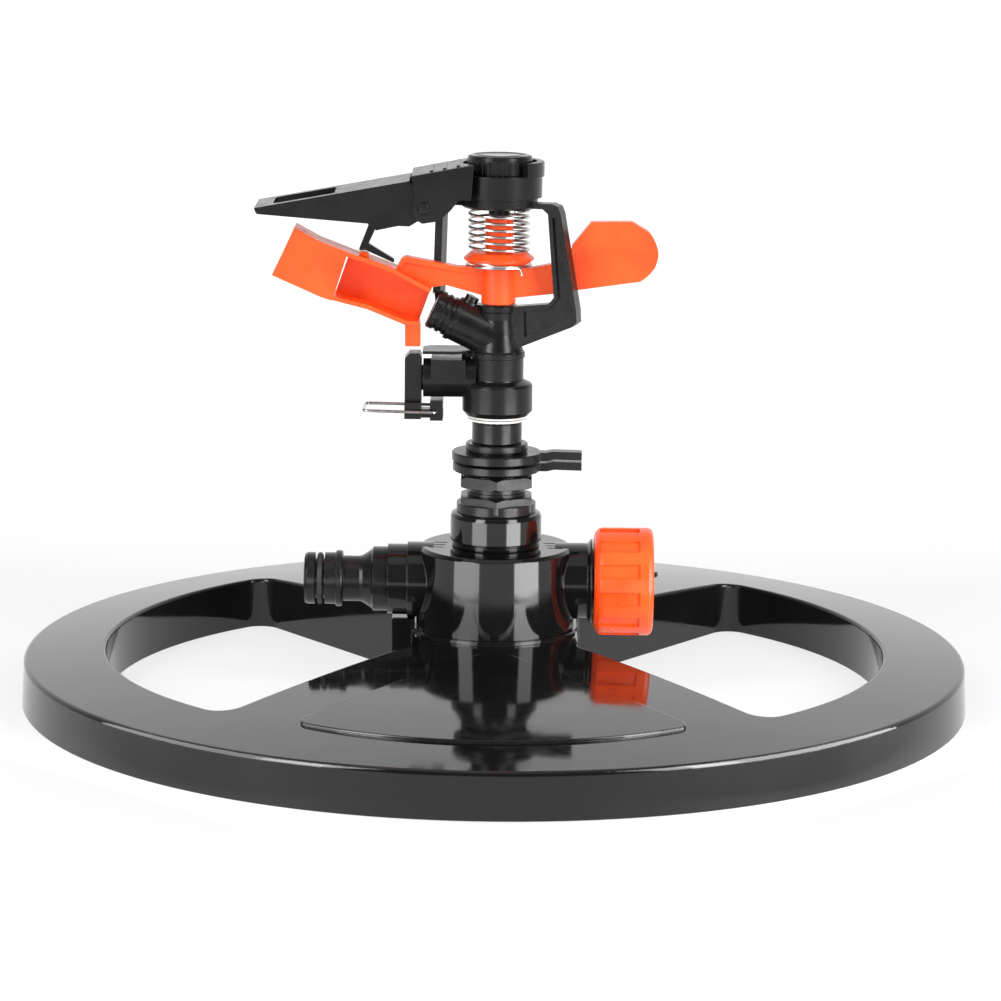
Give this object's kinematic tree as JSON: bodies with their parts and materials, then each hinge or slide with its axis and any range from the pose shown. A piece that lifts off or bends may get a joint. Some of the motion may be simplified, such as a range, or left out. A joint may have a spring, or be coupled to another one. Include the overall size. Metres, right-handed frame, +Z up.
{
  "type": "impact sprinkler",
  "caption": "Impact sprinkler on a round black sled base with two D-shaped openings, an orange swinging arm, a hood, a quick-connector tail and a swivel hose nut.",
  "frame": {"origin": "centre of the underside of the base, on the ground", "axes": "+Z up along the riser, -X along the quick connector, +X out of the hose nut's mouth, -Y the front"},
  "size_m": [0.29, 0.29, 0.1667],
  "materials": {
    "gloss_black": "moulded gloss black",
    "satin_black": "satin black moulding",
    "orange": "semi-gloss orange moulding",
    "rubber": "matt",
    "steel": "bright drawn wire",
    "pale_acetal": "natural"
  },
  "bodies": {
    "root": {"base_plate": "gloss_black", "hub_housing": "gloss_black", "base_screws": "steel", "quick_connector": "satin_black", "connector_o_ring": "rubber", "connector_washer": "rubber", "hose_spigot": "satin_black", "hose_washer": "rubber", "riser_socket": "gloss_black", "socket_seal": "rubber", "riser_adapter": "satin_black", "bearing_nipple": "satin_black"},
    "nut": {"hose_nut": "orange"},
    "stop_low": {"stop_ring_lower": "satin_black"},
    "stop_high": {"stop_ring_upper": "satin_black"},
    "head": {"stem_tube": "satin_black", "stem_seal": "rubber", "dust_sleeve": "satin_black", "thrust_washers": "pale_acetal", "washer_spacer": "satin_black", "bearing_spring": "steel", "sprinkler_body": "satin_black", "nozzle": "satin_black", "jet_breaker_screw": "satin_black", "arm_pivot_pin": "steel", "hood_bracket": "satin_black", "flap_pin": "satin_black", "trip_pin": "steel", "trip_spring": "steel"},
    "cap": {"tension_cap": "satin_black"},
    "arm": {"impact_arm": "orange", "arm_bushing": "pale_acetal", "arm_spring": "steel"},
    "flap": {"deflector_flap": "satin_black"},
    "lever": {"trip_lever": "satin_black"},
    "wire": {"trip_wire": "steel"}
  },
  "joints": [
    {"name": "head_turn", "type": "hinge", "parent": "root", "child": "head", "pos_m": [0, 0, 0.09], "axis": [0, 0, 1], "continuous": true},
    {"name": "nut_turn", "type": "hinge", "parent": "root", "child": "nut", "pos_m": [0.032, 0, 0.0358], "axis": [1, 0, 0], "continuous": true},
    {"name": "stop_low_turn", "type": "hinge", "parent": "root", "child": "stop_low", "pos_m": [0, 0, 0.0716], "axis": [0, 0, 1], "continuous": true},
    {"name": "stop_high_turn", "type": "hinge", "parent": "root", "child": "stop_high", "pos_m": [0, 0, 0.0748], "axis": [0, 0, 1], "continuous": true},
    {"name": "arm_swing", "type": "hinge", "parent": "head", "child": "arm", "pos_m": [0, 0, 0.13], "axis": [0, 0, 1], "range_deg": [0, 110], "stiffness_Nm_per_rad": 0.008, "springref_deg": -28.65, "deforming": ["arm_spring"]},
    {"name": "cap_turn", "type": "hinge", "parent": "head", "child": "cap", "pos_m": [0, 0, 0.16], "axis": [0, 0, 1], "range_deg": [-170, 170]},
    {"name": "flap_tilt", "type": "hinge", "parent": "head", "child": "flap", "pos_m": [-0.0226, 0, 0.1518], "axis": [0, 1, 0], "range_deg": [0, 10]},
    {"name": "trip_flip", "type": "hinge", "parent": "head", "child": "lever", "pos_m": [-0.0226, 0, 0.0987], "axis": [1, 0, 0], "range_deg": [-12, 12], "stiffness_Nm_per_rad": 0.004},
    {"name": "wire_flip", "type": "hinge", "parent": "lever", "child": "wire", "pos_m": [-0.0185, 0, 0.089], "axis": [0, 1, 0], "range_deg": [-40, 0]}
  ]
}
